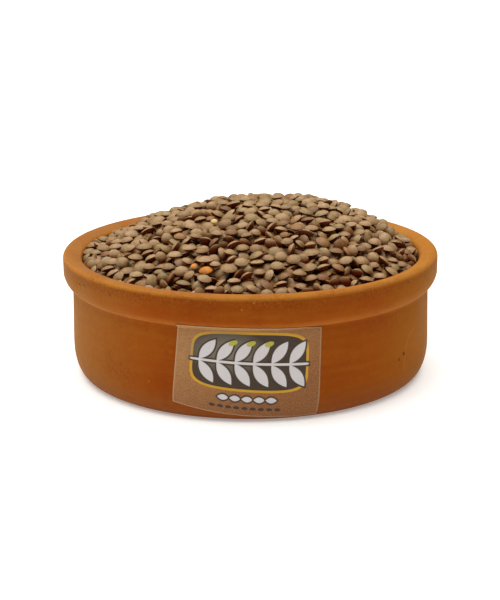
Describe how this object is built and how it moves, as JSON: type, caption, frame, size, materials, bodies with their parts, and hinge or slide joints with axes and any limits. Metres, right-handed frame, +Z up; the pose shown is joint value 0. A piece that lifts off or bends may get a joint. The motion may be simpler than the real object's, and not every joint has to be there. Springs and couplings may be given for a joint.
{
  "type": "bowl of dry lentils",
  "caption": "Round terracotta dish with a thick rolled rim, heaped with dry brown lentils, with a plain kraft paper label on its wall.",
  "frame": {"origin": "middle of the dish's flat base, which stands on the surface", "axes": "+Z up; the label faces -Y; +X is to the right when the label is seen from the front"},
  "size_m": [0.175, 0.175, 0.0797],
  "materials": {
    "terracotta": "unglazed matte terracotta, orange brown, sandy, with small pits and faint turning lines",
    "dry_lentil": "dry seed coat, dull satin, tan to olive and reddish brown",
    "kraft_paper": null
  },
  "bodies": {
    "root": {"bowl": "terracotta", "lentils": "dry_lentil", "label": "kraft_paper"}
  },
  "joints": []
}
